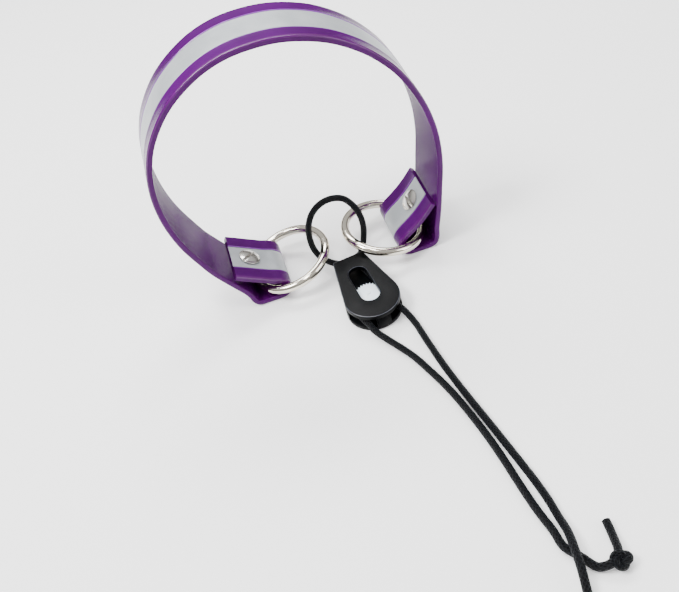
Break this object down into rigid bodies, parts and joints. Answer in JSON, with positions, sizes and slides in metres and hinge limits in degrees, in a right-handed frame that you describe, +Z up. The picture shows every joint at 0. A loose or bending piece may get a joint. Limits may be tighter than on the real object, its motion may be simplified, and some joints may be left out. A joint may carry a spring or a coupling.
{
  "type": "martingale collar",
  "caption": "Purple coated-webbing martingale collar with a reflective strip, welded rings, two-part screws and an elastic cord closed by a flat wheel cord lock.",
  "frame": {"origin": "bottom centre of the box round the strap, rings and cord lock, on the surface the collar stands on", "axes": "+X across the hoop towards the right ring, +Y away from the cord lock across the strap's width, +Z up through the neck opening"},
  "size_m": [0.1038, 0.2071, 0.1076],
  "materials": {
    "strap_coated": "glossy coated webbing",
    "strip_reflective": "fine retroreflective grey",
    "nickel": "polished nickel plate",
    "cord_black": "fine braided sheath",
    "lock_black": "satin moulded",
    "wheel_white": "satin moulded"
  },
  "bodies": {
    "collar": {"strap": "strap_coated", "reflective_strip": "strip_reflective", "left_screw": "nickel", "right_screw": "nickel", "left_screw_post": "nickel", "right_screw_post": "nickel", "cord_loop": "cord_black", "cord_tail_left": "cord_black", "cord_tail_right": "cord_black", "cord_knot_left": "cord_black", "cord_knot_right": "cord_black", "cord_end_left": "cord_black", "cord_end_right": "cord_black"},
    "left_ring_body": {"left_ring": "nickel"},
    "right_ring_body": {"right_ring": "nickel"},
    "lock": {"lock_back_shell": "lock_black", "lock_front_plate": "lock_black"},
    "axle": {"wheel_axle": "wheel_white"},
    "wheel": {"toothed_wheel": "wheel_white"}
  },
  "joints": [
    {"name": "left_ring_swing", "type": "hinge", "parent": "collar", "child": "left_ring_body", "pos_m": [-0.028, 0.01377, 0.0044], "axis": [0, -1, 0], "range_deg": [-3, 2.5]},
    {"name": "right_ring_swing", "type": "hinge", "parent": "collar", "child": "right_ring_body", "pos_m": [0.04262, 0.01377, 0.0044], "axis": [0, 1, 0], "range_deg": [0, 4]},
    {"name": "lock_slide", "type": "slide", "parent": "collar", "child": "lock", "axis": [0.1045, -0.9945, 0], "range_m": [0, 0.002]},
    {"name": "wheel_travel", "type": "slide", "parent": "lock", "child": "axle", "axis": [0.1045, -0.9945, 0], "range_m": [0, 0.0035]},
    {"name": "wheel_spin", "type": "hinge", "parent": "axle", "child": "wheel", "pos_m": [0.01121, -0.01672, 0.004], "axis": [0, 0, 1], "continuous": true}
  ]
}
